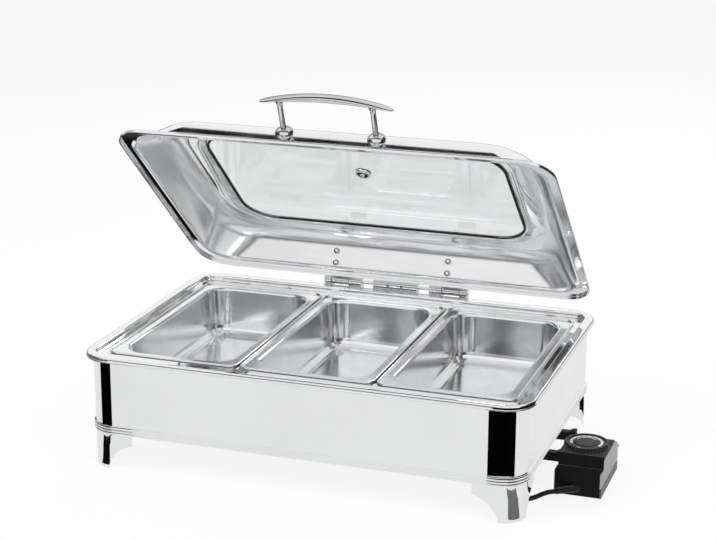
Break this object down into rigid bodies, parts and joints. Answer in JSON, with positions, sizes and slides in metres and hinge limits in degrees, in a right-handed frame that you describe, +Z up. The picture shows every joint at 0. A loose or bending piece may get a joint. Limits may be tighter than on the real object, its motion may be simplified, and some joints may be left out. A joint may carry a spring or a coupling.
{
  "type": "electric chafing dish",
  "caption": "Electric chafing dish with lift-out food pans in a polished water bath body, a hinged windowed lid with a handle, and a dial controller with its cord.",
  "frame": {"origin": "middle of the outline without the cord, on the surface the feet stand on", "axes": "+X to the right seen from the front, +Y to the rear, where the hinge is, +Z up"},
  "size_m": [0.651, 0.505, 0.481],
  "materials": {
    "polished_steel": "mirror polished",
    "satin_steel": "satin",
    "zinc_steel": "zinc plated",
    "spreader_aluminium": "rolled",
    "element_steel": "heat dulled",
    "terminal_plastic": "matte",
    "washer_plastic": "matte",
    "gasket_rubber": "satin",
    "window_glass": "clear",
    "black_plastic": "semi gloss",
    "grey_plastic": "matte",
    "cord_rubber": "matte",
    "pin_brass": "nickel dulled"
  },
  "bodies": {
    "base": {"body_shell": "polished_steel", "base_band": "polished_steel", "base_plate": "satin_steel", "water_pan": "polished_steel", "foot_front_left": "polished_steel", "foot_front_right": "polished_steel", "foot_rear_left": "polished_steel", "foot_rear_right": "polished_steel", "foot_screws": "zinc_steel", "heat_spreader": "spreader_aluminium", "heating_element": "element_steel", "element_clips": "zinc_steel", "clip_screws": "zinc_steel", "terminal_block": "terminal_plastic", "hinge_bracket": "polished_steel", "hinge_screws": "zinc_steel", "hinge_pin": "polished_steel", "friction_washers": "washer_plastic", "controller_base": "black_plastic", "controller_cover": "black_plastic", "ribbed_panel": "grey_plastic", "controller_arms": "black_plastic", "arm_screws": "zinc_steel", "cord_relief": "cord_rubber", "power_cord": "cord_rubber", "cord_coil": "cord_rubber", "coil_tie": "cord_rubber", "mains_plug": "cord_rubber", "plug_pins": "pin_brass"},
    "lid": {"hinge_arm_left": "polished_steel", "hinge_arm_right": "polished_steel", "lid_rivets": "polished_steel", "lid_shell": "polished_steel", "window_gasket": "gasket_rubber", "lid_window": "window_glass", "steam_vent": "polished_steel", "handle_bar": "polished_steel", "handle_posts": "polished_steel", "handle_domes": "polished_steel", "handle_screws": "polished_steel"},
    "pan_left": {"pan_left": "satin_steel"},
    "pan_middle": {"pan_middle": "satin_steel"},
    "pan_right": {"pan_right": "satin_steel"},
    "dial": {"dial_knob": "black_plastic", "dial_shaft": "zinc_steel"}
  },
  "joints": [
    {"name": "lid_hinge", "type": "hinge", "parent": "base", "child": "lid", "pos_m": [-0.0345, 0.1985, 0.156], "axis": [-1, 0, 0], "range_deg": [-41.4, 53.6]},
    {"name": "pan_left_lift", "type": "slide", "parent": "base", "child": "pan_left", "axis": [0, 0, 1], "range_m": [0, 0.045]},
    {"name": "pan_middle_lift", "type": "slide", "parent": "base", "child": "pan_middle", "axis": [0, 0, 1], "range_m": [0, 0.045]},
    {"name": "pan_right_lift", "type": "slide", "parent": "base", "child": "pan_right", "axis": [0, 0, 1], "range_m": [0, 0.045]},
    {"name": "dial_turn", "type": "hinge", "parent": "base", "child": "dial", "pos_m": [0.295, -0.0545, 0.054], "axis": [0, 0, -1], "range_deg": [0, 280]}
  ]
}
